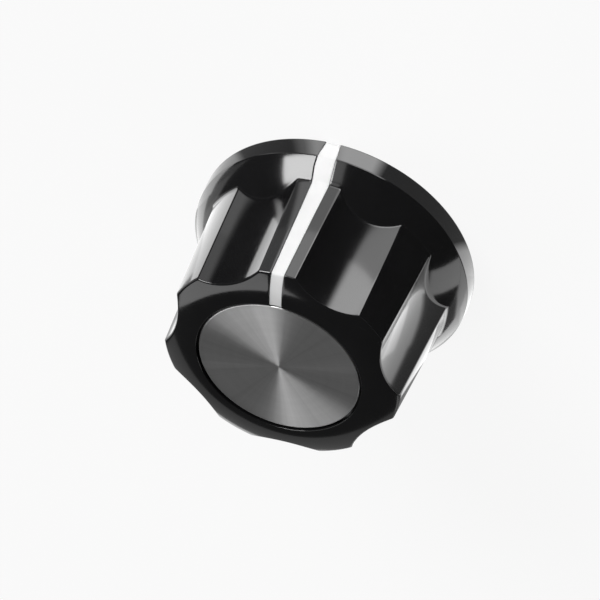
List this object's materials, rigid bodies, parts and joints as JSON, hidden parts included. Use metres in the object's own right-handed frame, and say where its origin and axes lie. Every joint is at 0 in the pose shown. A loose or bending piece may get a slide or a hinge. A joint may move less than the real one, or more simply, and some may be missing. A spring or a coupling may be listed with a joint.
{
  "type": "potentiometer knob",
  "caption": "Fluted, skirted control knob with a spun metal disc in its top, a white pointer line and a metal bush with a set screw for a round shaft.",
  "frame": {"origin": "centre of the rim's lower face, which rests on the panel", "axes": "+Z along the knob's axis towards the disc, -Y through the pointer line"},
  "size_m": [0.0244, 0.0244, 0.0151],
  "materials": {
    "moulding": "polished compression-moulded phenolic",
    "line_filling": "white filling paint, semi-gloss",
    "disc": "spun face, circular lay",
    "bush": "turned",
    "screw": "black oxide"
  },
  "bodies": {
    "root": {"knob_body": "moulding", "pointer_fill": "line_filling", "top_disc": "disc", "shaft_bush": "bush", "set_screw": "screw"}
  },
  "joints": []
}
